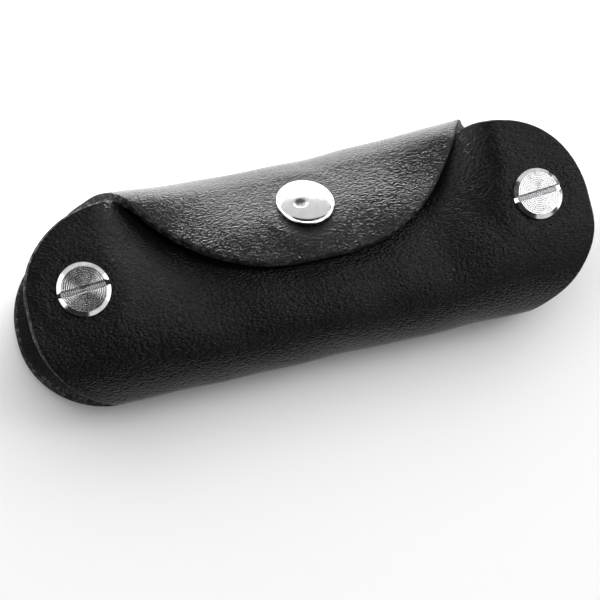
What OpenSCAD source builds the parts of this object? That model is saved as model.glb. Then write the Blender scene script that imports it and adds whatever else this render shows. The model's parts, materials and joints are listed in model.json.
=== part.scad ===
// Leather key case.  One leather blank is folded along the bottom and wraps over
// the top as a flap.  Two threaded posts with slotted screws hold the panels
// apart and carry the keys, and a ring-spring snap closes the flap.
// The case lies on its post heads: origin at the bottom centre, +Z along the
// screws, +X along the case, +Y towards the fold of the flap.  Millimetres.

/* [Leather] */
// Length of the case, from end to end
case_length = 101.4; // [96:0.2:110]
// Depth of the case, from the bottom fold to the fold of the flap
case_depth = 35.8; // [35:0.1:37]
// Thickness of the leather
leather_t = 2.0; // [1.6:0.1:2.2]
// Distance between the outer faces of the two panels at the screws
case_thickness = 17.5; // [17:0.1:18.5]
// Outer radius of the bottom fold
bottom_fold_r = 3.2; // [2.8:0.1:4]
// Outer radius of the lower half of the flap's fold
top_fold_r = 5.0; // [4:0.1:5.4]
// Radius of the corners next to the flap, seen from the front
upper_corner_r = 15; // [12:0.5:16]
// Radius of the corners next to the bottom fold
lower_corner_r = 15.6; // [14:0.2:16]
// Top edge of the front panel, above the middle of the depth
front_top_y = 15.2; // [14:0.1:16]
// Level at which the lower corners would meet, below the middle of the depth
corner_bottom_y = -18.6; // [-19:0.1:-18.2]
// Where the flat of the panels ends and the bend to the bottom fold begins
flat_end_y = -5; // [-7:0.5:-4]
// Height of the crown of the front panel at mid-length
crown_z = 17.4; // [17:0.1:18]
// Length of the front panel past the snap, under the flap
front_tail = 6; // [5:0.5:7]
// Half the length over which the front panel lies bent under the flap
bent_half = 31.5; // [31:0.5:33]

/* [Flap] */
// Half the width of the flap at its fold
flap_half = 33.7; // [30:0.1:36]
// Reach of the flap past the snap, to its tip
flap_reach = 10.7; // [9:0.1:12]
// Drop of the flap's edge from its tip to the fold
flap_drop = 25.1; // [24:0.1:26]
// Roundness of the flap's edge
flap_power = 2.8; // [2.4:0.1:3.2]

/* [Screws and posts] */
// Distance between the two screws
screw_spacing = 82; // [78:0.5:86]
// Place of the screws across the depth
screw_y = 1.3; // [0:0.1:2]
// Diameter of the screw and post heads
head_d = 9; // [8:0.5:10]
// Thickness of the screw and post heads
head_t = 1.0; // [0.8:0.1:1.4]
// Outer diameter of the post's barrel, which the keys sit on
barrel_d = 5; // [4:0.5:5.5]
// Diameter of the screw's threaded shank
shank_d = 3.4; // [3:0.1:3.6]
// Width of the slot in the screw heads, between its chamfers
slot_w = 0.8; // [0.6:0.1:1]
// Angle of the slot in the left screw
left_slot_angle = 4; // [0:1:180]
// Angle of the slot in the right screw
right_slot_angle = 5; // [0:1:180]
// Diameter of the rubber washers
washer_d = 9; // [8:0.5:9]
// Thickness of the washers that lie against the leather
washer_t = 0.8; // [0.5:0.1:1]
// Thickness of the loose spacers that take up the room of missing keys
spacer_t = 1.0; // [0.5:0.1:1.5]

/* [Snap] */
// Diameter of the cap
cap_d = 10; // [9:0.5:11]
// Height of the cap's dome above the leather
cap_h = 0.9; // [0.8:0.1:1.2]
// Place of the cap across the depth, on the outside of the flap
snap_y = 8.2; // [8:0.1:8.6]
// Height of that point
snap_z = 16.5; // [16.3:0.1:16.7]
// Tilt of the snap from +Z towards +Y
snap_tilt = 32; // [31:0.5:33]
// Gap between the flap and the front panel when the snap is closed
snap_gap = 1.8; // [1.7:0.1:1.9]

/* [Hidden] */
$fn = 96;
leather_color = [0.05, 0.05, 0.05];
steel_color = [0.78, 0.78, 0.8];
rubber_color = [0.12, 0.12, 0.12];
clearance = 0.05;
margin = 1;

// Levels of the two panels
back_z = head_t;
front_z = back_z + case_thickness;
mid_z = (back_z + front_z) / 2;
back_in = back_z + leather_t;
front_in = front_z - leather_t;

// Bottom fold: a small round, joined to the flat panels by one long bend each
fold_y = -case_depth / 2 + bottom_fold_r;
bend_run = flat_end_y - fold_y;
bend_rise = case_thickness / 2 - bottom_fold_r;
bend_tilt = 2 * atan(bend_rise / bend_run);
bend_r = bend_run / sin(bend_tilt) + bottom_fold_r;

// Front panel at mid-length: a crown that tilts with the snap
snap_stack = leather_t + snap_gap;
stud_y = snap_y - snap_stack * sin(snap_tilt);
stud_z = snap_z - snap_stack * cos(snap_tilt);
crown_r = (crown_z - stud_z) / (1 - cos(snap_tilt));
crown_y = stud_y - crown_r * sin(snap_tilt);
belly_dy = crown_y - fold_y;
belly_dz = crown_z - mid_z;
belly_r = (belly_dy * belly_dy + belly_dz * belly_dz - bottom_fold_r * bottom_fold_r)
        / (2 * (belly_dz - bottom_fold_r));
belly_tilt = atan2(belly_dy, belly_r - belly_dz);

// Fold of the flap: a lower and an upper round that meet at the outermost line
top_y = case_depth / 2;
top_z = back_z + top_fold_r;
upper_fold_r = ((snap_z - top_z) * cos(snap_tilt) - (top_y - snap_y) * sin(snap_tilt))
             / (1 - sin(snap_tilt));
lower_fold_y = top_y - top_fold_r;
upper_fold_y = top_y - upper_fold_r;
flap_r = crown_r + snap_stack;
tip_tilt = snap_tilt - flap_reach / flap_r * 180 / PI;
// Half width of the flap where it leaves the fold
flat_run = (upper_fold_y + upper_fold_r * sin(snap_tilt) - snap_y) / cos(snap_tilt);
flap_neck = flap_half * pow((flap_reach + flat_run) / flap_drop, 1 / flap_power);
half_chord = upper_fold_r * sin((90 - snap_tilt) / 2);
flap_steps = 48;
flap_edge = [for (i = [-flap_steps:flap_steps])
    let (x = flap_neck * i / flap_steps)
    [x, flap_drop * pow(abs(x) / flap_half, flap_power) - flap_reach]];

// Sizes along the posts
barrel_top = front_z - 0.2;
thread_bottom = 8.5;
shank_bottom = 10;
bevel_h = 0.35;
bevel_w = 0.7;
slot_depth = 0.8;
slot_chamfer = 0.2;

// Sizes of the snap's pieces
rivet_r = 1.5;
cap_rim = 0.5;
socket_r = 4.3;
socket_h = 1.4;
flange_r = 4.0;
flange_t = 0.4;
sheet_t = 0.35;
spring_wire = 0.6;
spring_ring_r = 2.8;
stud_r = 2.1;

// Points on a round, by tilt from +Z towards +Y
function arc(cy, cz, r, from, to, steps = 16) =
    [for (i = [0:steps]) let (a = from + (to - from) * i / steps) [cy + r * sin(a), cz + r * cos(a)]];

// A point that lies "along" past a tilted face's start and "in" below it
function down_slope(y, z, along, in) =
    [y + along * cos(snap_tilt) - in * sin(snap_tilt), z - along * sin(snap_tilt) - in * cos(snap_tilt)];

// Runs of the leather's section; "in" is the depth below the outer face
function bottom_run(in) = concat(
    arc(fold_y, mid_z, bottom_fold_r - in, -bend_tilt, bend_tilt - 180),
    arc(flat_end_y, back_z + bend_r, bend_r - in, bend_tilt - 180, -180));
function end_run(in) = concat(
    [[front_top_y + margin, front_z - in]],
    arc(flat_end_y, front_z - bend_r, bend_r - in, 0, -bend_tilt),
    bottom_run(in),
    [[front_top_y + margin, back_z + in]]);
function middle_run(in) = concat(
    [down_slope(stud_y, stud_z, front_tail, in)],
    arc(crown_y, crown_z - crown_r, crown_r - in, snap_tilt, 0),
    arc(crown_y, crown_z - belly_r, belly_r - in, 0, -belly_tilt),
    arc(fold_y, mid_z, bottom_fold_r - in, -belly_tilt, bend_tilt - 180));
function flap_run(in) = concat(
    arc(crown_y, crown_z - crown_r, flap_r - in, tip_tilt - 2, snap_tilt),
    [down_slope(snap_y, snap_z, flat_run, in)]);

function backwards(list) = [for (i = [len(list) - 1:-1:0]) list[i]];

// A strip of leather with the given outer and inner runs, along X
module strip(outer, inner, half_length)
    rotate([90, 0, 90])
        linear_extrude(2 * half_length, center = true)
            polygon(concat(outer, backwards(inner)));

// A round stretch of leather, from one tilt to another
module round_strip(cy, cz, r, from, to, half_length)
    strip(arc(cy, cz, r, from, to), arc(cy, cz, r - leather_t, from, to), half_length);

// Outline of a panel seen from the front, as a prism
module panel_outline(panel_top)
    translate([0, 0, -margin])
        linear_extrude(front_z + 4 * margin)
            hull()
                for (side = [-1, 1]) {
                    translate([side * (case_length / 2 - upper_corner_r), panel_top - upper_corner_r])
                        circle(upper_corner_r);
                    translate([side * (case_length / 2 - lower_corner_r), corner_bottom_y + lower_corner_r])
                        circle(lower_corner_r);
                }

module beside(half_x)
    for (side = [-1, 1])
        translate([side * (half_x + case_length / 2), 0, mid_z])
            cube([case_length, 2 * case_depth, 2 * case_thickness], center = true);

module above_fold_line(z_from, z_to)
    translate([-case_length, fold_y, z_from])
        cube([2 * case_length, 2 * case_depth, z_to - z_from]);

module at_screws() for (side = [-1, 1]) translate([side * screw_spacing / 2, screw_y, 0]) children();

module at_snap() translate([0, snap_y, snap_z]) rotate([-snap_tilt, 0, 0]) children();

module post_hole() at_screws() cylinder(h = front_z + margin, d = barrel_d + 2 * clearance);

// Hole for the snap's rivet, with a flat seat pressed into the flesh side
module snap_hole(seat_z, seat_r)
    at_snap() {
        translate([0, 0, seat_z - leather_t]) cylinder(h = 4 * leather_t, r = rivet_r);
        translate([0, 0, seat_z - leather_t]) cylinder(h = leather_t, r = seat_r + clearance);
    }

// The folded blank as it is at the screws
module end_shell(panel_top)
    intersection() {
        strip(end_run(0), end_run(leather_t), case_length / 2 + margin);
        panel_outline(panel_top);
    }

module front_panel()
    color(leather_color)
        difference() {
            union() {
                intersection() {
                    end_shell(front_top_y);
                    above_fold_line(mid_z, front_z + margin);
                    beside(bent_half);
                }
                intersection() {
                    strip(middle_run(0), middle_run(leather_t), bent_half + clearance);
                    above_fold_line(mid_z, front_z + margin);
                }
            }
            post_hole();
            snap_hole(-snap_stack - leather_t, flange_r);
        }

module bottom_fold()
    color(leather_color)
        difference() {
            end_shell(front_top_y);
            above_fold_line(-margin, front_z + margin);
        }

module back_panel()
    color(leather_color)
        difference() {
            intersection() {
                end_shell(lower_fold_y);
                above_fold_line(0, mid_z);
            }
            post_hole();
        }

module fold_lower()
    color(leather_color)
        round_strip(lower_fold_y, top_z, top_fold_r, 90, 180, flap_half);

module fold_upper()
    color(leather_color)
        intersection() {
            round_strip(upper_fold_y, top_z, upper_fold_r, snap_tilt, 90, flap_half);
            translate([0, upper_fold_y, top_z])
                rotate([-(snap_tilt + 90) / 2, 0, 0])
                    linear_extrude(2 * upper_fold_r)
                        polygon([[-flap_neck, half_chord], [flap_neck, half_chord],
                                 [flap_half, -half_chord], [-flap_half, -half_chord]]);
        }

// Flap: its section is cut to the rounded edge, seen along the snap
module flap_panel()
    color(leather_color)
        difference() {
            intersection() {
                strip(flap_run(0), flap_run(leather_t), flap_half);
                at_snap()
                    translate([0, 0, -2 * leather_t])
                        linear_extrude(4 * leather_t)
                            polygon(flap_edge);
            }
            snap_hole(-leather_t, socket_r);
        }

// Head of a screw or post: flat, with a bevelled rim
module head()
    rotate_extrude()
        polygon([[0, 0], [head_d / 2, 0], [head_d / 2, head_t - bevel_h],
                 [head_d / 2 - bevel_w, head_t], [0, head_t]]);

module post()
    color(steel_color)
        difference() {
            union() {
                translate([0, 0, head_t]) mirror([0, 0, 1]) head();
                translate([0, 0, head_t]) cylinder(h = barrel_top - head_t, d = barrel_d);
            }
            translate([0, 0, thread_bottom]) cylinder(h = front_z, d = shank_d + 2 * clearance);
        }

module screw(slot_angle)
    color(steel_color)
        difference() {
            union() {
                translate([0, 0, front_z]) head();
                translate([0, 0, shank_bottom]) cylinder(h = front_z - shank_bottom, d = shank_d);
            }
            translate([0, 0, front_z + head_t])
                rotate([90, 0, 90 + slot_angle])
                    linear_extrude(2 * head_d, center = true)
                        polygon([[-slot_w / 2, -slot_depth], [slot_w / 2, -slot_depth],
                                 [slot_w / 2, -slot_chamfer], [slot_w / 2 + 2 * slot_chamfer, slot_chamfer],
                                 [-slot_w / 2 - 2 * slot_chamfer, slot_chamfer], [-slot_w / 2, -slot_chamfer]]);
        }

module washer(z, t)
    color(rubber_color)
        translate([0, 0, z])
            difference() {
                cylinder(h = t, d = washer_d);
                translate([0, 0, -margin]) cylinder(h = t + 2 * margin, d = barrel_d);
            }

// The snap's pieces share one axis; z = 0 is the outer face of the flap
module snap_cap()
    color(steel_color)
        at_snap()
            rotate_extrude()
                polygon([[0, -leather_t - sheet_t], [rivet_r - clearance, -leather_t - sheet_t],
                         [rivet_r - clearance, 0], [cap_d / 2 - 0.1, 0], [cap_d / 2, 0.15],
                         [cap_d / 2, cap_rim - 0.15], [cap_d / 2 - 0.15, cap_rim],
                         [cap_d / 2 - 0.6, cap_rim], [cap_d / 2 - 0.85, cap_rim - 0.12],
                         [cap_d / 2 - 1.1, cap_rim], [cap_d / 2 - 2.2, cap_h - 0.15],
                         [cap_d / 2 - 3.6, cap_h], [0.9, cap_h], [0.7, cap_h - 0.2],
                         [0.4, cap_h - 0.32], [0, cap_h - 0.35]]);

module snap_socket()
    color(steel_color)
        at_snap()
            rotate_extrude()
                polygon([[rivet_r, -leather_t], [socket_r, -leather_t], [socket_r, -leather_t - socket_h],
                         [2.6, -leather_t - socket_h], [2.6, -leather_t - socket_h + 0.25],
                         [socket_r - sheet_t, -leather_t - socket_h + 0.25],
                         [socket_r - sheet_t, -leather_t - sheet_t], [rivet_r, -leather_t - sheet_t]]);

module snap_spring()
    color(steel_color)
        at_snap()
            translate([0, 0, -leather_t - sheet_t - 0.4])
                rotate([0, 0, 20])
                    rotate_extrude(angle = 320)
                        translate([spring_ring_r, 0]) circle(d = spring_wire);

module snap_stud()
    color(steel_color)
        at_snap()
            translate([0, 0, -snap_stack])
                rotate_extrude()
                    polygon([[rivet_r, 0], [socket_r, 0], [socket_r, sheet_t - 0.05], [stud_r - 0.2, sheet_t],
                             [stud_r - 0.2, 0.7], [stud_r, 0.9], [stud_r - 0.1, 1.15],
                             [stud_r - 0.4, 1.3], [rivet_r, 1.3]]);

module snap_stud_post()
    color(steel_color)
        at_snap()
            translate([0, 0, -snap_stack - leather_t])
                rotate_extrude()
                    polygon([[0, -flange_t], [flange_r - 0.2, -flange_t], [flange_r, -flange_t / 2], [flange_r, 0],
                             [rivet_r - clearance, 0], [rivet_r - clearance, leather_t + 1.2],
                             [0, leather_t + 1.2]]);

// Loose spacers lie on the back washer, one on the other
module spacer(level) washer(back_in + washer_t + level * spacer_t, spacer_t);

module on_post(side) translate([side * screw_spacing / 2, screw_y, 0]) children();

module left_post() on_post(-1) post();
module left_back_washer() on_post(-1) washer(back_in, washer_t);
module left_spacer_1() on_post(-1) spacer(0);
module left_spacer_2() on_post(-1) spacer(1);
module left_front_washer() on_post(-1) washer(front_in - washer_t, washer_t);
module left_screw() on_post(-1) screw(left_slot_angle);
module right_post() on_post(1) post();
module right_back_washer() on_post(1) washer(back_in, washer_t);
module right_spacer_1() on_post(1) spacer(0);
module right_spacer_2() on_post(1) spacer(1);
module right_front_washer() on_post(1) washer(front_in - washer_t, washer_t);
module right_screw() on_post(1) screw(right_slot_angle);

front_panel();
bottom_fold();
back_panel();
fold_lower();
fold_upper();
flap_panel();
left_post();
left_back_washer();
left_spacer_1();
left_spacer_2();
left_front_washer();
left_screw();
right_post();
right_back_washer();
right_spacer_1();
right_spacer_2();
right_front_washer();
right_screw();
snap_cap();
snap_socket();
snap_spring();
snap_stud();
snap_stud_post();
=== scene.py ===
"""Black leather key case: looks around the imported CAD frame.
Shapes are in millimetres until a mesh is made; materials, lights and the camera are in metres."""
import math

import bpy
import numpy as np
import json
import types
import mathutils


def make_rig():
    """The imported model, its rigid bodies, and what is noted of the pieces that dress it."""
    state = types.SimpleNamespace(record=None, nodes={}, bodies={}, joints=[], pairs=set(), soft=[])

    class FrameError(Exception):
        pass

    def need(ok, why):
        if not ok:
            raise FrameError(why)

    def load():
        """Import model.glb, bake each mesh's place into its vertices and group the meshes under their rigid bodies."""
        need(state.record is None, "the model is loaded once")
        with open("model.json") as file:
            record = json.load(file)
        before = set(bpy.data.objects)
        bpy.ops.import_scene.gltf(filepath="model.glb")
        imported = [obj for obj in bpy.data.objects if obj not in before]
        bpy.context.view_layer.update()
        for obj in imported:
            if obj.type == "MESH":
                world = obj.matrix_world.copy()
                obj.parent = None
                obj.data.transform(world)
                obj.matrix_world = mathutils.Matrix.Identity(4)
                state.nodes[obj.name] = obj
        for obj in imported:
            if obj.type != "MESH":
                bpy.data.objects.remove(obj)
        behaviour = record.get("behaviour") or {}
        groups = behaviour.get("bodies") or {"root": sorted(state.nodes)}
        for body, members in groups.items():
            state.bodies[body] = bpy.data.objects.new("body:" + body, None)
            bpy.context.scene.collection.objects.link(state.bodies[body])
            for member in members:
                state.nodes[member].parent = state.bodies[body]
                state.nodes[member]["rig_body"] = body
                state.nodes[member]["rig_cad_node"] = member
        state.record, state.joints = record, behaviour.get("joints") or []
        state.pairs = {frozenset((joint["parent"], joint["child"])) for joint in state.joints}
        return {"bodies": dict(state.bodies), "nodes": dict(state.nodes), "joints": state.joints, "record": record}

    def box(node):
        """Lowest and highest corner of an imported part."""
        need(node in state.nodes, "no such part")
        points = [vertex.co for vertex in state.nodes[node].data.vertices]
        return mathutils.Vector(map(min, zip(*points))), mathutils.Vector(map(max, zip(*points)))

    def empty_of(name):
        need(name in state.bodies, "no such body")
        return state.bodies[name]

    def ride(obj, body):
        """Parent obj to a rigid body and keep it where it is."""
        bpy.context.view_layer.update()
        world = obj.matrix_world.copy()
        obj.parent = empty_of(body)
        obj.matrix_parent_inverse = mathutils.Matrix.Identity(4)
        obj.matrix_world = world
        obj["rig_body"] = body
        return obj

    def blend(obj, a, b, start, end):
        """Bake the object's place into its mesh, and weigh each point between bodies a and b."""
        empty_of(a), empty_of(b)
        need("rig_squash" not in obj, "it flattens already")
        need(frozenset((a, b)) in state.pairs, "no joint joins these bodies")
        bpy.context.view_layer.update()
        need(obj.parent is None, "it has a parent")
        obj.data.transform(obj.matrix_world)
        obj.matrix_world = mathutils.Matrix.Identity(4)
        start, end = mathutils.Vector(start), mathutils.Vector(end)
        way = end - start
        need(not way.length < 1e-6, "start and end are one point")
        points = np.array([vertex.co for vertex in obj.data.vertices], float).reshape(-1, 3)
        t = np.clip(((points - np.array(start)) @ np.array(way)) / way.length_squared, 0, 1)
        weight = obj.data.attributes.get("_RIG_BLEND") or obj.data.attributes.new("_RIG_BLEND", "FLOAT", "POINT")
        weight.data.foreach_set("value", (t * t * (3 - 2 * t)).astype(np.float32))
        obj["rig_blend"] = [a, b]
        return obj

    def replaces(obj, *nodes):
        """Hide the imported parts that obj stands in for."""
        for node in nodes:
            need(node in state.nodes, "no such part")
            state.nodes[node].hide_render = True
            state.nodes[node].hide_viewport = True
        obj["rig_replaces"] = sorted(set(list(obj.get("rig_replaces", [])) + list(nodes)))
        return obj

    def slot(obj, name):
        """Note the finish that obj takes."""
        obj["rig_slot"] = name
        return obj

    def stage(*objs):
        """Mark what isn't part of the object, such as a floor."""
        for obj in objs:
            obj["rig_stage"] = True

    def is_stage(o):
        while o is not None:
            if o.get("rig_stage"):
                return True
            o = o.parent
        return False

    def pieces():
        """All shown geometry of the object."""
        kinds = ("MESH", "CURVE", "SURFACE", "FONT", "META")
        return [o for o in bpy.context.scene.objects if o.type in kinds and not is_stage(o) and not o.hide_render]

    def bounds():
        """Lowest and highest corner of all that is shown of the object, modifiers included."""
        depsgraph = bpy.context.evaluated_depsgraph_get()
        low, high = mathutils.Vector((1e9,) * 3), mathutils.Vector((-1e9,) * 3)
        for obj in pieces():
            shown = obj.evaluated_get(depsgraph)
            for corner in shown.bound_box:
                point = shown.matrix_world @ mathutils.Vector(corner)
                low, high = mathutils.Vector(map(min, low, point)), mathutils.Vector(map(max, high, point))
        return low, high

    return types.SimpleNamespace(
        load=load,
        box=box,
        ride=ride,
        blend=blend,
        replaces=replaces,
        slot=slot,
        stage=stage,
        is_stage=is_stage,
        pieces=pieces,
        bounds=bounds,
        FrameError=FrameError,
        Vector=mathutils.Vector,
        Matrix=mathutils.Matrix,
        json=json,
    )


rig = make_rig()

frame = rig.load()
cad_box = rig.bounds()

MM = 0.001
scene = bpy.context.scene
scene.view_settings.view_transform = "Standard"

# ---------------------------------------------------------------- sizes, as in the CAD frame
BACK_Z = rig.box("back_panel")[0].z / MM
FRONT_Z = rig.box("front_panel")[1].z / MM
HALF_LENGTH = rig.box("front_panel")[1].x / MM
FRONT_TOP_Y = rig.box("front_panel")[1].y / MM
FOLD_BOTTOM_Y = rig.box("bottom_fold")[0].y / MM
FOLD_TOP_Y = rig.box("fold_upper")[1].y / MM
FLAP_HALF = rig.box("fold_lower")[1].x / MM
MID_Z = (BACK_Z + FRONT_Z) / 2

LEATHER_T = 2.0
BOTTOM_R = 3.2
TOP_LOWER_R = 5.0
FLAT_END_Y = -5.0
CROWN_Z = 17.4
UPPER_CORNER_R = 15.0
LOWER_CORNER_R = 15.6
CORNER_BOTTOM_Y = -18.6
FRONT_TAIL = 6.0
SNAP = np.array([0.0, 8.2, 16.5])
SNAP_TILT = math.radians(32)
SNAP_GAP = 1.8
FLAP_REACH = 10.7
FLAP_DROP = 25.1
FLAP_POWER = 2.8
SCREW_X = 41.0
SCREW_Y = 1.3


# ---------------------------------------------------------------- the leather's section
class Path:
    """Runs of the leather's outer face across the case, as (y, z) and tilt by distance along it.
    Tilt is the outward normal's angle from +Z towards +Y; turn is +1 where tilt grows along the path."""

    def __init__(self, y, z, tilt, turn):
        self.start = (y, z, tilt)
        self.turn = turn
        self.runs = []
        self.length = 0.0

    def end(self):
        if not self.runs:
            return self.start
        y, z, tilt = self.at(np.array([self.length]))
        return float(y[0]), float(z[0]), float(tilt[0])

    def line(self, length):
        self.runs.append((self.length, length, self.end(), None))
        self.length += length
        return self

    def bend(self, radius, angle):
        self.runs.append((self.length, radius * angle, self.end(), radius))
        self.length += radius * angle
        return self

    def at(self, s):
        y, z, tilt = (np.zeros_like(s, dtype=float) for _ in range(3))
        for i, (begin, length, (y0, z0, a0), radius) in enumerate(self.runs):
            last = i == len(self.runs) - 1
            inside = (s >= begin - (1e9 if i == 0 else 0)) & ((s < begin + length) | last)
            d = s[inside] - begin
            if radius is None:
                y[inside] = y0 + self.turn * d * math.cos(a0)
                z[inside] = z0 - self.turn * d * math.sin(a0)
                tilt[inside] = a0
            else:
                a = a0 + self.turn * d / radius
                y[inside] = y0 + radius * (np.sin(a) - math.sin(a0))
                z[inside] = z0 + radius * (np.cos(a) - math.cos(a0))
                tilt[inside] = a
        return y, z, tilt


fold_y = FOLD_BOTTOM_Y + BOTTOM_R
bend_tilt = 2 * math.atan((FRONT_Z - MID_Z - BOTTOM_R) / (FLAT_END_Y - fold_y))
bend_r = (FLAT_END_Y - fold_y) / math.sin(bend_tilt) + BOTTOM_R
snap_stack = LEATHER_T + SNAP_GAP
stud_y = SNAP[1] - snap_stack * math.sin(SNAP_TILT)
stud_z = SNAP[2] - snap_stack * math.cos(SNAP_TILT)
crown_r = (CROWN_Z - stud_z) / (1 - math.cos(SNAP_TILT))
crown_y = stud_y - crown_r * math.sin(SNAP_TILT)
belly_dy = crown_y - fold_y
belly_dz = CROWN_Z - MID_Z
belly_r = (belly_dy**2 + belly_dz**2 - BOTTOM_R**2) / (2 * (belly_dz - BOTTOM_R))
belly_tilt = math.atan2(belly_dy, belly_r - belly_dz)

# From the bottom fold's outermost line forward: at the screws, and at mid-length
end_path = Path(FOLD_BOTTOM_Y, MID_Z, -math.pi / 2, 1)
end_path.bend(BOTTOM_R, math.pi / 2 - bend_tilt).bend(bend_r, bend_tilt).line(FRONT_TOP_Y - FLAT_END_Y)
middle_path = Path(FOLD_BOTTOM_Y, MID_Z, -math.pi / 2, 1)
middle_path.bend(BOTTOM_R, math.pi / 2 - belly_tilt).bend(belly_r, belly_tilt)
middle_path.bend(crown_r, SNAP_TILT).line(FRONT_TAIL)
# From the bottom fold backward
back_path = Path(FOLD_BOTTOM_Y, MID_Z, -math.pi / 2, -1)
back_path.bend(BOTTOM_R, math.pi / 2 - bend_tilt).bend(bend_r, bend_tilt).line(40)

# From the back panel round the top fold and down the flap
top_z = BACK_Z + TOP_LOWER_R
lower_fold_y = FOLD_TOP_Y - TOP_LOWER_R
top_upper_r = ((SNAP[2] - top_z) * math.cos(SNAP_TILT) - (FOLD_TOP_Y - SNAP[1]) * math.sin(SNAP_TILT)) / (
    1 - math.sin(SNAP_TILT))
flat_run = (FOLD_TOP_Y - top_upper_r + top_upper_r * math.sin(SNAP_TILT) - SNAP[1]) / math.cos(SNAP_TILT)
# The case's sheet and the flap's sheet meet butted at this y on the back
SEAM_Y = -2.6
back_length = back_path.runs[2][0] + SEAM_Y - FLAT_END_Y
fold_root_s = lower_fold_y - SEAM_Y
# Fillet from the slanted neck into the flap's side
NECK_LONG = 6.0
NECK_WIDE = 3.4
# Where the flap's sheet goes over from the case's motion to the flap's
BEND_ALONG = np.array([0, 0.447, 0.894])
BEND_FROM = 7.5
BEND_TO = 15.5
# The front panel is flat beyond FLAT_FROM + FLAT_LONG from mid-length, and its top edge leans by FRONT_SKEW
FLAT_FROM = 20
FLAT_LONG = 17.0
FRONT_SKEW = 0.6
SKEW_FROM_S = 24
SKEW_LONG = 10
# Its top edge: lower under the flap, with a low peak at each end of the flap
TAIL_FROM_S = 26.0
TOP_RISE_FROM = 19
TOP_RISE_LONG = 10
PEAK_X = 32.5
PEAK_WIDE = 3
PEAK_HIGH = 0.7
# The top fold's sag at mid-length, its lean, and how much fuller it stands at each end
FOLD_SAG = 0.9
FOLD_SKEW = 0.7
LEFT_FULLNESS = 6.5
RIGHT_FULLNESS = 3.8
SWELL_LONG = 12
FADE_BEFORE_SNAP = 11
FADE_LONG = 15
flap_path = Path(SEAM_Y, BACK_Z, math.pi, -1)
flap_path.line(lower_fold_y - SEAM_Y).bend(TOP_LOWER_R, math.pi / 2)
flap_path.bend(top_upper_r, math.pi / 2 - SNAP_TILT).line(flat_run)
snap_s = flap_path.length
flap_path.bend(crown_r + snap_stack, 0.5)


def smoothstep(t):
    t = np.clip(t, 0, 1)
    return t * t * (3 - 2 * t)


def corner_half(y, centre_y, radius, inset):
    """Half the panel's length at y, inside a corner of that radius."""
    reach = np.clip(np.abs(y - centre_y), 0, radius - inset)
    return HALF_LENGTH - radius + np.sqrt((radius - inset) ** 2 - reach**2)


def ripple(x, s):
    """Slow unevenness of cut leather, in mm."""
    return (0.10 * np.sin(0.21 * x + 1.3) * np.sin(0.17 * s + 0.4)
            + 0.06 * np.sin(0.47 * x - 0.9 + 0.13 * s) + 0.04 * np.sin(0.39 * s + 0.31 * x))


def ring(distance, radius, width, height):
    return height * np.exp(-(((distance - radius) / width) ** 2))


# ---------------------------------------------------------------- making a leather sheet
# How far the cut stands out past the grid, and its rounded section as (outward, depth)
EDGE = 0.42
RIM = [(0.16, 0.03), (0.30, 0.12), (0.39, 0.26), (0.42, 0.44), (0.45, 0.9), (0.44, 1.4),
       (0.38, 1.72), (0.24, 1.92)]
GRAIN_RINGS = 1
GRAIN, CUT, FLESH = 0, 1, 2


def on_surface(surface, x, s, flip):
    """Points of a surface, and its outward normals from small steps along x and s."""
    step = 0.05
    du = surface(x + step, s) - surface(x - step, s)
    dv = surface(x, s + step) - surface(x, s - step)
    n = np.cross(du, dv) * (-1 if flip else 1)
    return surface(x, s), n / np.linalg.norm(n, axis=-1, keepdims=True)


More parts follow.
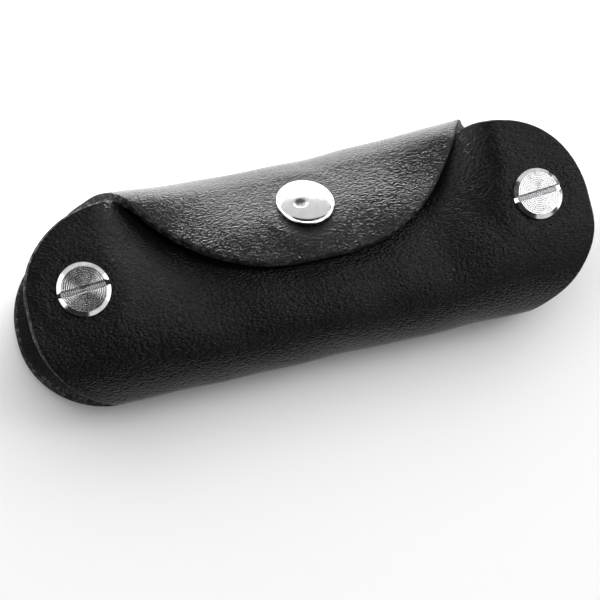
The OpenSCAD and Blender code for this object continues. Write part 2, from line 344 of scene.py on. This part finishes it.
def leather_sheet(name, grid, n, along, materials, flip):
    """A closed sheet of leather from its outer face.  grid is rows x columns of points inset by EDGE from
    the cut, n their outward normals, and along each row's distance for the grain.  The first row is a
    flush butt."""
    rows, cols, _ = grid.shape
    inner = grid - n * LEATHER_T
    loop = ([(0, c) for c in range(cols)] + [(r, cols - 1) for r in range(1, rows)]
            + [(rows - 1, c) for c in range(cols - 2, -1, -1)] + [(r, 0) for r in range(rows - 2, 0, -1)])
    edge = np.array([grid[i] for i in loop])
    edge_n = np.array([n[i] for i in loop])
    tangent = np.roll(edge, -1, axis=0) - np.roll(edge, 1, axis=0)
    for k, (r, c) in enumerate(loop):
        if r == 0 and c in (0, cols - 1):
            tangent[k] = grid[1, c] - grid[0, c] if c else grid[0, c] - grid[1, c]
    out = np.cross(tangent, edge_n)
    out /= np.linalg.norm(out, axis=1, keepdims=True)
    middle = loop.index((rows // 2, cols - 1))
    if out[middle] @ (grid[rows // 2, cols - 1] - grid[rows // 2, cols // 2]) < 0:
        out = -out
    reach = np.array([0.0 if r == 0 and 0 < c < cols - 1 else 1.0 for r, c in loop])

    m = len(loop)
    points = [grid.reshape(-1, 3), inner.reshape(-1, 3)]
    for o, d in RIM:
        points.append(edge + out * (o * reach)[:, None] - edge_n * d)
    verts = np.concatenate(points) * MM
    index = np.arange(rows * cols).reshape(rows, cols)
    base = 2 * rows * cols
    outer_loop = np.array([index[i] for i in loop])
    rings = [outer_loop] + [base + k * m + np.arange(m) for k in range(len(RIM))] + [outer_loop + rows * cols]

    faces, slots = [], []
    quad = np.stack([index[:-1, :-1], index[:-1, 1:], index[1:, 1:], index[1:, :-1]], -1).reshape(-1, 4)
    faces += [q[::-1] if flip else q for q in quad.tolist()]
    slots += [GRAIN] * len(quad)
    faces += [q if flip else q[::-1] for q in (quad + rows * cols).tolist()]
    slots += [FLESH] * len(quad)
    for k in range(len(rings) - 1):
        a, b = rings[k], rings[k + 1]
        for i in range(m):
            j = (i + 1) % m
            f = [int(a[j]), int(a[i]), int(b[i]), int(b[j])]
            faces.append(f[::-1] if flip else f)
            slots.append(GRAIN if k < GRAIN_RINGS else CUT)

    mesh = bpy.data.meshes.new(name)
    mesh.from_pydata(verts.tolist(), [], faces)
    for material in materials:
        mesh.materials.append(material)
    mesh.polygons.foreach_set("material_index", slots)
    mesh.polygons.foreach_set("use_smooth", [True] * len(faces))
    uv_of = np.zeros((len(verts), 2))
    flat = np.stack([grid[:, :, 0], np.repeat(along[:, None], cols, 1)], -1).reshape(-1, 2)
    uv_of[: rows * cols] = flat
    uv_of[rows * cols: base] = flat + [0, 300]
    walk = np.concatenate([[0], np.cumsum(np.linalg.norm(np.diff(edge, axis=0), axis=1))])
    for k, (o, d) in enumerate(RIM):
        around = flat[outer_loop] if k < GRAIN_RINGS else np.stack([walk, np.full(m, 600 + d)], -1)
        uv_of[base + k * m: base + (k + 1) * m] = around
    layer = mesh.uv_layers.new(name="grain")
    corner = np.zeros(len(mesh.loops), int)
    mesh.loops.foreach_get("vertex_index", corner)
    layer.data.foreach_set("uv", (uv_of[corner] * MM).ravel())
    butt = set(index[0].tolist()) | set((index[0] + rows * cols).tolist())
    for line in mesh.edges:
        line.use_edge_sharp = line.vertices[0] in butt and line.vertices[1] in butt
    mesh.validate()
    mesh.update()
    piece = bpy.data.objects.new(name, mesh)
    scene.collection.objects.link(piece)
    return piece


def spread(count, crowd=0.45):
    """Columns from -1 to 1, closer together near the ends."""
    t = np.linspace(-1, 1, count)
    return (1 - crowd) * t + crowd * np.sin(t * math.pi / 2)


# ---------------------------------------------------------------- materials
def new_material(name):
    material = bpy.data.materials.new(name)
    material.use_nodes = True
    tree = material.node_tree
    return material, tree, tree.nodes["Principled BSDF"]


def node(tree, kind, inputs=None, **settings):
    made = tree.nodes.new(kind)
    for key, value in settings.items():
        setattr(made, key, value)
    for key, value in (inputs or {}).items():
        if isinstance(value, bpy.types.NodeSocket):
            tree.links.new(value, made.inputs[key])
        else:
            made.inputs[key].default_value = value
    return made


def maths(tree, operation, a, b=0.0, c=0.0):
    return node(tree, "ShaderNodeMath", {0: a, 1: b, 2: c}, operation=operation).outputs[0]


def ramp(tree, value, stops):
    made = node(tree, "ShaderNodeValToRGB", {0: value})
    elements = made.color_ramp.elements
    while len(elements) < len(stops):
        elements.new(0.5)
    for element, (place, shade) in zip(elements, stops):
        element.position = place
        element.color = (shade, shade, shade, 1) if isinstance(shade, float) else (*shade, 1)
    return made.outputs[0]


def bump(tree, height, strength, distance):
    inputs = {"Height": height, "Strength": strength, "Distance": distance}
    return node(tree, "ShaderNodeBump", inputs).outputs[0]


def grain_coordinates(tree, scale, stretch=(1, 1, 1), turn=0.0):
    uv = node(tree, "ShaderNodeUVMap", uv_map="grain").outputs[0]
    turned = node(tree, "ShaderNodeMapping", {"Vector": uv, "Rotation": (0, 0, turn)}).outputs[0]
    return node(tree, "ShaderNodeMapping", {"Vector": turned,
                                            "Scale": tuple(scale * k for k in stretch)}).outputs[0]


def leather_material():
    """Black full-grain leather: short flat pebbles drawn out along the case, over slow unevenness."""
    material, tree, shader = new_material("black_leather")
    warp = node(tree, "ShaderNodeTexNoise", {"Vector": grain_coordinates(tree, 700), "Scale": 1.0,
                                             "Detail": 2.0})
    shifted = node(tree, "ShaderNodeVectorMath", {0: warp.outputs["Color"], 1: (0.0006, 0.0006, 0)},
                   operation="MULTIPLY").outputs[0]
    uv = node(tree, "ShaderNodeUVMap", uv_map="grain").outputs[0]
    warped = node(tree, "ShaderNodeVectorMath", {0: uv, 1: shifted}, operation="ADD").outputs[0]
    drawn = node(tree, "ShaderNodeMapping", {"Vector": warped, "Scale": (0.55, 1.0, 1.0)}).outputs[0]
    cells = node(tree, "ShaderNodeTexVoronoi", {"Vector": drawn, "Scale": 3200.0},
                 feature="SMOOTH_F1").outputs["Distance"]
    pebble = ramp(tree, cells, [(0.12, 1.0), (0.45, 0.55), (0.75, 0.0)])
    fine = node(tree, "ShaderNodeTexNoise", {"Vector": drawn, "Scale": 4200.0, "Detail": 2.0}).outputs["Fac"]
    wrinkle = node(tree, "ShaderNodeTexNoise", {"Vector": grain_coordinates(tree, 4000, (0.5, 1.0, 1), 0.1),
                                                "Scale": 1.0, "Detail": 2.0, "Roughness": 0.5}).outputs["Fac"]
    mottle = node(tree, "ShaderNodeTexNoise", {"Vector": grain_coordinates(tree, 120), "Scale": 1.0,
                                               "Detail": 3.0}).outputs["Fac"]
    depth = node(tree, "ShaderNodeMapRange", {"Value": mottle, "From Min": 0.3, "From Max": 0.7,
                                              "To Min": 0.55, "To Max": 1.15}).outputs[0]
    height = maths(tree, "MULTIPLY_ADD", pebble, depth, maths(tree, "MULTIPLY_ADD", wrinkle, 1.5,
                                                             maths(tree, "MULTIPLY", fine, 0.2)))
    shade = ramp(tree, maths(tree, "MULTIPLY_ADD", pebble, 0.3, maths(tree, "MULTIPLY", mottle, 0.7)),
                 [(0.2, (0.0018, 0.0018, 0.0018)), (0.8, (0.0045, 0.0045, 0.0047))])
    gloss = ramp(tree, maths(tree, "MULTIPLY_ADD", pebble, -0.3, mottle), [(0.1, 0.2), (0.7, 0.3)])
    tree.links.new(shade, shader.inputs["Base Color"])
    tree.links.new(gloss, shader.inputs["Roughness"])
    shader.inputs["Specular IOR Level"].default_value = 0.31
    tree.links.new(bump(tree, height, 0.9, 0.0001), shader.inputs["Normal"])
    return material


def cut_edge_material():
    """The raw cut: pressed fibres, dark grey, matt."""
    material, tree, shader = new_material("leather_cut_edge")
    at = node(tree, "ShaderNodeTexCoord").outputs["Object"]
    fibres = node(tree, "ShaderNodeTexNoise", {"Vector": at, "Scale": 4200.0, "Detail": 5.0,
                                               "Roughness": 0.75}).outputs["Fac"]
    clumps = node(tree, "ShaderNodeTexNoise", {"Vector": at, "Scale": 1100.0, "Detail": 3.0}).outputs["Fac"]
    mixed = maths(tree, "MULTIPLY_ADD", fibres, 0.6, maths(tree, "MULTIPLY", clumps, 0.4))
    tree.links.new(ramp(tree, mixed, [(0.42, (0.004, 0.004, 0.004)), (0.52, (0.02, 0.02, 0.02)),
                                      (0.62, (0.14, 0.138, 0.138))]), shader.inputs["Base Color"])
    shader.inputs["Roughness"].default_value = 0.92
    shader.inputs["Specular IOR Level"].default_value = 0.25
    tree.links.new(bump(tree, mixed, 0.9, 0.0003), shader.inputs["Normal"])
    return material


def flesh_material():
    """The inside: short nap with pale specks."""
    material, tree, shader = new_material("leather_flesh_side")
    at = node(tree, "ShaderNodeTexCoord").outputs["Object"]
    nap = node(tree, "ShaderNodeTexNoise", {"Vector": at, "Scale": 3000.0, "Detail": 6.0,
                                            "Roughness": 0.8}).outputs["Fac"]
    tree.links.new(ramp(tree, nap, [(0.4, (0.004, 0.004, 0.004)), (0.58, (0.018, 0.018, 0.018)),
                                    (0.72, (0.10, 0.10, 0.10))]), shader.inputs["Base Color"])
    shader.inputs["Roughness"].default_value = 1.0
    shader.inputs["Specular IOR Level"].default_value = 0.1
    shader.inputs["Sheen Weight"].default_value = 0.12
    tree.links.new(bump(tree, nap, 0.8, 0.0003), shader.inputs["Normal"])
    return material


def distance_from(tree, centre, turn_x=0.0):
    """Distance in metres from an axis through centre, and the position about it.  The axis is +Z tilted by
    turn_x towards +Y."""
    at = node(tree, "ShaderNodeTexCoord").outputs["Object"]
    moved = node(tree, "ShaderNodeVectorMath", {0: at, 1: tuple(centre)}, operation="SUBTRACT").outputs[0]
    turned = node(tree, "ShaderNodeVectorRotate", {"Vector": moved, "Angle": turn_x},
                  rotation_type="X_AXIS").outputs[0]
    split = node(tree, "ShaderNodeSeparateXYZ", {0: turned})
    flat = node(tree, "ShaderNodeCombineXYZ", {0: split.outputs[0], 1: split.outputs[1]}).outputs[0]
    return node(tree, "ShaderNodeVectorMath", {0: flat}, operation="LENGTH").outputs["Value"], turned


RING_PITCH = 0.00036
FINE_RING_PITCH = 0.000083


def turned_steel_material(name, centre, radius, slot_top):
    """Nickel-plated head with the lathe's rings on its face and a polished bevel. The slot is painted half as bright
    as shade, the bevel painted brighter as a highlight, and the rings painted lighter on their crests and dimmer in
    their grooves as shade.
    """
    material, tree, shader = new_material(name)
    away, turned = distance_from(tree, centre)
    rings = maths(tree, "SINE", maths(tree, "MULTIPLY", away, 2 * math.pi / RING_PITCH))
    fine = maths(tree, "SINE", maths(tree, "MULTIPLY", away, 2 * math.pi / FINE_RING_PITCH))
    uneven = node(tree, "ShaderNodeTexNoise", {"Vector": turned, "Scale": 700.0,
                                               "Detail": 3.0}).outputs["Fac"]
    height = maths(tree, "MULTIPLY", maths(tree, "MULTIPLY_ADD", fine, 0.35, rings), uneven)
    on_face = node(tree, "ShaderNodeMapRange", {"Value": away, "From Min": radius * 0.84,
                                                "From Max": radius * 0.85,
                                                "To Min": 1.0, "To Max": 0.0}).outputs[0]
    level = node(tree, "ShaderNodeSeparateXYZ", {0: turned}).outputs[2]
    # Painted shade in the slot: below the face the colour is cut to half.
    slot_depth_shade_mask = node(tree, "ShaderNodeMapRange", {"Value": level, "From Min": slot_top,
                                                "From Max": slot_top - 0.0003,
                                                "To Min": 1.0, "To Max": 0.5}).outputs[0]
    # The colour follows the rings, lighter on their crests and dimmer in their grooves: painted shade. The uneven
    # noise adds random variation in colour.
    shade = maths(tree, "MULTIPLY_ADD", maths(tree, "MULTIPLY", rings, on_face), 0.3, uneven)
    tint = ramp(tree, shade, [(0.25, (0.44, 0.44, 0.45)), (0.75, (0.78, 0.78, 0.79))])
    near_axis = maths(tree, "LESS_THAN", away, radius * 0.975)
    # The painted slot shade, kept off the rim by near_axis.
    painted_slot_shade = maths(tree, "MULTIPLY_ADD", maths(tree, "SUBTRACT", slot_depth_shade_mask, 1.0), near_axis, 1.0)
    # Painted highlight: the bevel's colour is raised by a third. Its lower roughness, set below, is the real polish.
    # The next line multiplies the painted slot shade by this painted highlight.
    painted_bevel_highlight = maths(tree, "MULTIPLY_ADD", on_face, -0.35, 1.35)
    slot_shade_times_bevel_highlight = maths(tree, "MULTIPLY", painted_slot_shade, painted_bevel_highlight)
    tree.links.new(node(tree, "ShaderNodeVectorMath", {0: tint, 1: slot_shade_times_bevel_highlight}, operation="MULTIPLY").outputs[0],
                   shader.inputs["Base Color"])
    shader.inputs["Metallic"].default_value = 1.0
    tree.links.new(maths(tree, "MULTIPLY_ADD", on_face, 0.08, 0.13), shader.inputs["Roughness"])
    on_face_height = maths(tree, "MULTIPLY", height, on_face)
    tree.links.new(bump(tree, on_face_height, 0.8, 0.000018), shader.inputs["Normal"])
    return material


def plated_material(name, tint, roughness, speck):
    material, tree, shader = new_material(name)
    at = node(tree, "ShaderNodeTexCoord").outputs["Object"]
    cloud = node(tree, "ShaderNodeTexNoise", {"Vector": at, "Scale": 900.0, "Detail": 4.0}).outputs["Fac"]
    tree.links.new(ramp(tree, cloud, [(0.3, tuple(0.92 * k for k in tint)), (0.7, tint)]),
                   shader.inputs["Base Color"])
    shader.inputs["Metallic"].default_value = 1.0
    tree.links.new(maths(tree, "MULTIPLY_ADD", cloud, speck, roughness), shader.inputs["Roughness"])
    tree.links.new(bump(tree, cloud, 0.05, 0.00005), shader.inputs["Normal"])
    return material


def cap_material():
    """Polished plating, near black and rougher in the dimple where the cap was pressed on its rivet."""
    material, tree, shader = new_material("polished_cap")
    across = np.array([DIMPLE[0], DIMPLE[1] * math.cos(SNAP_TILT), -DIMPLE[1] * math.sin(SNAP_TILT)])
    away, turned = distance_from(tree, (SNAP + across) * MM, SNAP_TILT)
    cloud = node(tree, "ShaderNodeTexNoise", {"Vector": turned, "Scale": 900.0, "Detail": 4.0}).outputs["Fac"]
    pressed = node(tree, "ShaderNodeTexNoise", {"Vector": turned, "Scale": 5000.0,
                                                "Detail": 3.0}).outputs["Fac"]
    dimple = node(tree, "ShaderNodeMapRange", {"Value": maths(tree, "MULTIPLY_ADD", pressed, 0.0005, away),
                                               "From Min": 0.0014, "From Max": 0.0011,
                                               "To Min": 0.0, "To Max": 1.0}).outputs[0]
    shiny = ramp(tree, cloud, [(0.3, (0.80, 0.80, 0.81)), (0.7, (0.88, 0.88, 0.89))])
    # Inside the dimple the colour is near black with specks.
    dark_in_dimple = ramp(tree, pressed, [(0.4, (0.05, 0.05, 0.05)), (0.6, (0.22, 0.22, 0.22))])
    mixed = node(tree, "ShaderNodeMix", {"Factor": dimple, "A": shiny, "B": dark_in_dimple}, data_type="RGBA")
    tree.links.new(mixed.outputs["Result"], shader.inputs["Base Color"])
    shader.inputs["Metallic"].default_value = 1.0
    rough = maths(tree, "MULTIPLY_ADD", cloud, 0.06, 0.12)
    tree.links.new(maths(tree, "MULTIPLY_ADD", dimple, 0.35, rough), shader.inputs["Roughness"])
    tree.links.new(bump(tree, cloud, 0.05, 0.00005), shader.inputs["Normal"])
    return material


def rubber_material():
    material, tree, shader = new_material("black_rubber")
    at = node(tree, "ShaderNodeTexCoord").outputs["Object"]
    dust = node(tree, "ShaderNodeTexNoise", {"Vector": at, "Scale": 1800.0, "Detail": 4.0}).outputs["Fac"]
    tree.links.new(ramp(tree, dust, [(0.4, (0.012, 0.012, 0.012)), (0.7, (0.035, 0.035, 0.036))]),
                   shader.inputs["Base Color"])
    shader.inputs["Roughness"].default_value = 0.75
    tree.links.new(bump(tree, dust, 0.2, 0.0001), shader.inputs["Normal"])
    return material


leather = [leather_material(), cut_edge_material(), flesh_material()]
polished = plated_material("polished_nickel", (0.86, 0.86, 0.87), 0.045, 0.04)
wire = plated_material("spring_wire", (0.62, 0.61, 0.58), 0.25, 0.1)
rubber = rubber_material()


# ---------------------------------------------------------------- leather: the case
def case_surface(x, s):
    """Outer face of the front panel, bottom fold and back, by distance s from the fold's outermost line.
    The front panel is flat round the screws and dips towards the flap."""
    ye, ze, _ = end_path.at(np.maximum(s, 0).ravel())
    ym, zm, _ = middle_path.at(np.maximum(s, 0).ravel())
    yb, zb, _ = back_path.at(np.maximum(-s, 0).ravel())
    flat_share = smoothstep((np.abs(x) - FLAT_FROM) / FLAT_LONG).ravel()
    skew = FRONT_SKEW * (x / HALF_LENGTH * smoothstep((s - SKEW_FROM_S) / SKEW_LONG)).ravel()
    y = np.where(s.ravel() < 0, yb, ym + (ye - ym) * flat_share + skew)
    z = np.where(s.ravel() < 0, zb, zm + (ze - zm) * flat_share)
    return np.stack([x, y.reshape(x.shape), z.reshape(x.shape)], -1)


def case_rows():
    """x and s of the grid: rows from the seam on the back, round the bottom fold, to the front's top edge."""
    top_s = end_path.length - EDGE
    corner_y = FRONT_TOP_Y - UPPER_CORNER_R
    corner_s = end_path.runs[2][0] + corner_y - FLAT_END_Y
    turn = np.linspace(0, math.pi / 2, 34)
    lower = np.arange(-back_length, corner_s, 0.5)
    stations = np.concatenate([lower, corner_s + (UPPER_CORNER_R - EDGE) * np.sin(turn)])
    y_front, _, _ = end_path.at(np.maximum(stations, 0))
    y_back, _, _ = back_path.at(np.maximum(-stations, 0))
    y = np.where(stations < 0, y_back, y_front)
    half = np.where(y > corner_y, corner_half(y, corner_y, UPPER_CORNER_R, EDGE), HALF_LENGTH - EDGE)
    lower_y = CORNER_BOTTOM_Y + LOWER_CORNER_R
    half = np.where(y < lower_y, corner_half(y, lower_y, LOWER_CORNER_R, EDGE), half)
    x = half[:, None] * spread(181)[None, :]
    s = np.repeat(stations[:, None], x.shape[1], 1)
    out = np.abs(x)
    rise = smoothstep((out - TOP_RISE_FROM) / TOP_RISE_LONG)
    top_here = (middle_path.length + (end_path.length - middle_path.length) * rise
                + PEAK_HIGH * np.exp(-(((out - PEAK_X) / PEAK_WIDE) ** 2)))
    s = np.where(s > TAIL_FROM_S, TAIL_FROM_S + (s - TAIL_FROM_S) * (top_here - EDGE - TAIL_FROM_S)
                 / (top_s - TAIL_FROM_S), s)
    return x, s, stations


def unevenness(points):
    """Slow unevenness in mm, none under the metal, and a low swelling round each head and the snap."""
    x, y, z = points[:, :, 0], points[:, :, 1], points[:, :, 2]
    height = ripple(x, y + z)
    for side in (-1, 1):
        away = np.hypot(x - side * SCREW_X, y - SCREW_Y)
        height = height * smoothstep((away - 4.5) / 5) + ring(away, 7.4, 1.5, 0.1)
    away = np.linalg.norm(points - SNAP, axis=2)
    return height * smoothstep((away - 5.2) / 5) + ring(away, 7.6, 1.5, 0.1)


def raised(points, n, along):
    fade = smoothstep((along - along[0]) / 6)[:, None]
    return points + n * (unevenness(points) * fade)[:, :, None]


x, s, along = case_rows()
points, n = on_surface(case_surface, x, s, False)
case_leather = leather_sheet("case_leather", raised(points, n, along), n, along, leather, False)
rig.ride(case_leather, "case")
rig.replaces(case_leather, "front_panel", "bottom_fold")
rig.slot(case_leather, "leather")


# ---------------------------------------------------------------- leather: back panel, fold and flap
def flap_surface(x, s):
    """Outer face from the seam, up the back, round the fold and down the flap.  The fold sags a little at
    mid-length, and stands fuller at both ends of the flap."""
    y, z, _ = flap_path.at(s.ravel())
    out = np.abs(x) / FLAP_HALF
    swell = smoothstep((s - fold_root_s) / SWELL_LONG)
    near_fold = swell * (1 - smoothstep((s - snap_s + FADE_BEFORE_SNAP) / FADE_LONG))
    y = y.reshape(x.shape) + near_fold * (FOLD_SKEW * x / FLAP_HALF - FOLD_SAG * np.maximum(1 - out**2, 0))
    fullness = np.where(x < 0, LEFT_FULLNESS, RIGHT_FULLNESS) * smoothstep((out - 0.3) / 0.7)
    z = z.reshape(x.shape) + near_fold * fullness
    return np.stack([x, y, z], -1)


def flap_rows():
    """x and s of the grid: the back panel's rounded corners, the neck, and the flap's rounded edge."""
    q = np.concatenate([np.linspace(1, 0.5, 64), np.linspace(0.5, 0.1, 22)[1:]])
    slope = FLAP_POWER * FLAP_DROP * q ** (FLAP_POWER - 1)
    norm = np.hypot(slope, FLAP_HALF)
    edge_s = snap_s + FLAP_REACH - FLAP_DROP * q**FLAP_POWER - EDGE * FLAP_HALF / norm
    edge_half = FLAP_HALF * q - EDGE * slope / norm
    plain_s = np.arange(0, edge_s[0] - 0.15, 0.3)
    stations = np.concatenate([plain_s, edge_s])
    # Round corner, then a slanted edge over the fold, then a fillet into the flap's side
    corner_s = lower_fold_y - UPPER_CORNER_R - SEAM_Y
    radius = UPPER_CORNER_R - EDGE
    slant_s = corner_s + radius * math.sin(math.pi / 4)
    slant_half = HALF_LENGTH - UPPER_CORNER_R + radius * math.cos(math.pi / 4)
    fillet_s = slant_s + slant_half - FLAP_HALF + EDGE - NECK_WIDE
    neck = np.clip(1 - (stations - fillet_s) / NECK_LONG, 0, 1) ** 2 * NECK_WIDE
    half = np.concatenate([np.full(len(plain_s), edge_half[0]), edge_half]) + neck
    half = np.where(stations < fillet_s, slant_half - (stations - slant_s), half)
    half = np.where(stations < slant_s, corner_half(stations, corner_s, UPPER_CORNER_R, EDGE), half)
    half = np.where(stations < corner_s, HALF_LENGTH - EDGE, half)
    x = half[:, None] * spread(161, 0.3)[None, :]
    return x, np.repeat(stations[:, None], x.shape[1], 1), stations


x, s, along = flap_rows()
points, n = on_surface(flap_surface, x, s, True)
flap_leather = leather_sheet("flap_leather", raised(points, n, along), n, -back_length - along, leather, True)
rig.blend(flap_leather, "case", "flap", start=tuple(BEND_FROM * BEND_ALONG * MM),
         end=tuple(BEND_TO * BEND_ALONG * MM))
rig.replaces(flap_leather, "back_panel", "fold_lower", "fold_upper", "flap_panel")
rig.slot(flap_leather, "leather")


# ---------------------------------------------------------------- metal and rubber
# The cap is a dome above this height
DOME_FROM_H = 0.52
# The cap's press mark: its centre on the cap, radius and depth
DIMPLE = np.array([-1.05, -0.4])
DIMPLE_R = 1.15
DIMPLE_DEPTH = 0.3


def dimple(x, y):
    """Depth in mm of the shallow press mark on the cap, a little off its centre."""
    away = math.hypot(x - DIMPLE[0], (y - DIMPLE[1]) * 1.25)
    return DIMPLE_DEPTH * float(smoothstep(1.25 - away / DIMPLE_R))


def lathe(name, profile, origin, tilt, material, dent, steps=128):
    """A turned piece: (radius, height) pairs in mm round an axis through origin, tilted from +Z towards +Y.
    dent is how far its top is pressed in at a point."""
    verts = []
    for r, h in profile[1:-1]:
        for i in range(steps):
            a = 2 * math.pi * i / steps
            x, y = r * math.cos(a), r * math.sin(a)
            verts.append((x, y, h - dent(x, y) if h > DOME_FROM_H else h))
    rings = len(profile) - 2
    first, last = len(verts), len(verts) + 1
    verts += [(0, 0, profile[0][1]), (0, 0, profile[-1][1] - dent(0, 0))]
    faces = []
    for k in range(rings - 1):
        for i in range(steps):
            j = (i + 1) % steps
            faces.append((k * steps + i, k * steps + j, (k + 1) * steps + j, (k + 1) * steps + i))
    for i in range(steps):
        j = (i + 1) % steps
        faces.append((first, j, i))
        faces.append((last, (rings - 1) * steps + i, (rings - 1) * steps + j))
    mesh = bpy.data.meshes.new(name)
    mesh.from_pydata([tuple(MM * c for c in v) for v in verts], [], faces)
    mesh.transform(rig.Matrix.Translation([MM * c for c in origin]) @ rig.Matrix.Rotation(-tilt, 4, "X"))
    mesh.materials.append(material)
    mesh.polygons.foreach_set("use_smooth", [True] * len(faces))
    piece = bpy.data.objects.new(name, mesh)
    scene.collection.objects.link(piece)
    return piece


# Radius and height of the cap in mm: stem, rim, groove, then the dome without its dimple
CAP_PROFILE = [
    (0, -2.35), (1.45, -2.35), (1.45, -2.3), (1.45, 0.0), (1.5, 0.0), (4.82, 0.0), (4.92, 0.03), (4.98, 0.1),
    (5.0, 0.2), (5.0, 0.26), (4.97, 0.33), (4.9, 0.38), (4.8, 0.4), (4.7, 0.39), (4.62, 0.36), (4.55, 0.35),
    (4.47, 0.37), (4.38, 0.42), (4.25, 0.48), (4.0, 0.56), (3.7, 0.62), (3.4, 0.67), (3.1, 0.71)]
CAP_PROFILE += [(r, 0.89 - 0.18 * (r / 3.1) ** 2) for r in np.arange(3.0, 0.05, -0.1).tolist()]
CAP_PROFILE += [(0, 0.89)]
for side, sign in (("left", -1), ("right", 1)):
    head = turned_steel_material(f"turned_steel_{side}", (sign * SCREW_X * MM, SCREW_Y * MM, 0), 4.5 * MM,
                                 (FRONT_Z + 0.62) * MM)
    for part in ("screw", "post"):
        cad = frame["nodes"][f"{side}_{part}"]
        cad.data.materials.clear()
        cad.data.materials.append(head)
    for part in ("back_washer", "spacer_1", "spacer_2", "front_washer"):
        cad = frame["nodes"][f"{side}_{part}"]
        cad.data.materials.clear()
        cad.data.materials.append(rubber)
cap = lathe("snap_cap_dome", CAP_PROFILE, SNAP, SNAP_TILT, cap_material(), dimple)
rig.ride(cap, "flap")
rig.replaces(cap, "snap_cap")
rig.slot(cap, "snap_plating")
for part, material in (("snap_socket", polished), ("snap_spring", wire),
                       ("snap_stud", polished), ("snap_stud_post", polished)):
    cad = frame["nodes"][part]
    cad.data.materials.clear()
    cad.data.materials.append(material)


# ---------------------------------------------------------------- floor, light and camera
def floor_material():
    material, tree, shader = new_material("pale_floor")
    at = node(tree, "ShaderNodeTexCoord").outputs["Object"]
    cloud = node(tree, "ShaderNodeTexNoise", {"Vector": at, "Scale": 8.0}).outputs["Fac"]
    tree.links.new(ramp(tree, cloud, [(0.3, (0.88, 0.88, 0.88)), (0.7, (0.9, 0.9, 0.9))]),
                   shader.inputs["Base Color"])
    shader.inputs["Roughness"].default_value = 0.9
    shader.inputs["Specular IOR Level"].default_value = 0.2
    return material


def plane(name, size, location):
    mesh = bpy.data.meshes.new(name)
    h = size / 2
    mesh.from_pydata([(-h, -h, 0), (h, -h, 0), (h, h, 0), (-h, h, 0)], [], [(0, 1, 2, 3)])
    made = bpy.data.objects.new(name, mesh)
    made.location = location
    scene.collection.objects.link(made)
    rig.stage(made)
    return made


def softbox(name, size, power, azimuth, elevation, distance, aim=(0, 0, 0.01)):
    """A rectangular area light, aimed at a point; azimuth 0 is towards -Y and 90 towards +X."""
    data = bpy.data.lights.new(name, "AREA")
    data.shape = "RECTANGLE"
    data.size, data.size_y = size
    data.energy = power
    lamp = bpy.data.objects.new(name, data)
    a, e = math.radians(azimuth), math.radians(elevation)
    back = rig.Vector((math.sin(a) * math.cos(e), -math.cos(a) * math.cos(e), math.sin(e)))
    lamp.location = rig.Vector(aim) + back * distance
    lamp.rotation_mode = "QUATERNION"
    lamp.rotation_quaternion = (-back).to_track_quat("-Z", "Y")
    scene.collection.objects.link(lamp)
    return lamp


floor = plane("floor", 4.0, (0, 0, -0.00002))
floor.data.materials.append(floor_material())

world = bpy.data.worlds.new("studio")
world.use_nodes = True
world.node_tree.nodes["Background"].inputs["Color"].default_value = (1, 1, 1, 1)
world.node_tree.nodes["Background"].inputs["Strength"].default_value = 0.03
scene.world = world

# The key light doesn't show in glossy surfaces, so the panel's leather stays dark.
# The strip shows only in them: it gives the cap and the fold their highlights.
key = softbox("key_light", (1.9, 1.9), 16.5, 172, 58, 1.0)
key.visible_glossy = False
strip = softbox("back_strip", (1.6, 0.17), 4.4, 165, 6.3, 0.8)
strip.visible_diffuse = False
softbox("back_wall", (1.6, 0.6), 2.0, 168, 31, 0.85)
softbox("right_light", (0.26, 0.26), 0.85, 103.5, 61.5, 0.8)
softbox("right_low_light", (0.7, 0.3), 1.0, 92, 24, 0.8)
softbox("left_light", (1.0, 0.4), 1.8, -106, 43, 0.8)
softbox("front_light", (0.7, 0.3), 0.5, 42, 40, 0.8)

# Whitens the floor behind the case, which the fold mirrors
behind = softbox("background_light", (0.6, 0.2), 9.0, 0, 90, 0.2, aim=(0.03, 0.175, 0))
behind.data.spread = math.radians(50)
behind.visible_glossy = False

VIEW_AZIMUTH, VIEW_ELEVATION, VIEW_ROLL = -74.62, 72.45, 61.52
VIEW_DISTANCE = 0.34636
VIEW_TARGET = (-0.00301, -0.0072, 0.01)
camera_data = bpy.data.cameras.new("camera")
camera_data.lens = 120.9
camera_data.sensor_width = 36
camera_data.clip_start = 0.01
camera = bpy.data.objects.new("camera", camera_data)
a, e = math.radians(VIEW_AZIMUTH), math.radians(VIEW_ELEVATION)
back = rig.Vector((math.sin(a) * math.cos(e), -math.cos(a) * math.cos(e), math.sin(e)))
camera.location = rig.Vector(VIEW_TARGET) + back * VIEW_DISTANCE
camera.rotation_mode = "QUATERNION"
camera.rotation_quaternion = (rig.Matrix.Rotation(a, 3, "Z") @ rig.Matrix.Rotation(math.pi / 2 - e, 3, "X")
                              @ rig.Matrix.Rotation(math.radians(VIEW_ROLL), 3, "Z")).to_quaternion()
scene.collection.objects.link(camera)
scene.camera = camera

size_report = {"cad": [list(v) for v in cad_box], "visual": [list(v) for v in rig.bounds()]}
with open("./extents.json", "w") as handle:
    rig.json.dump(size_report, handle)
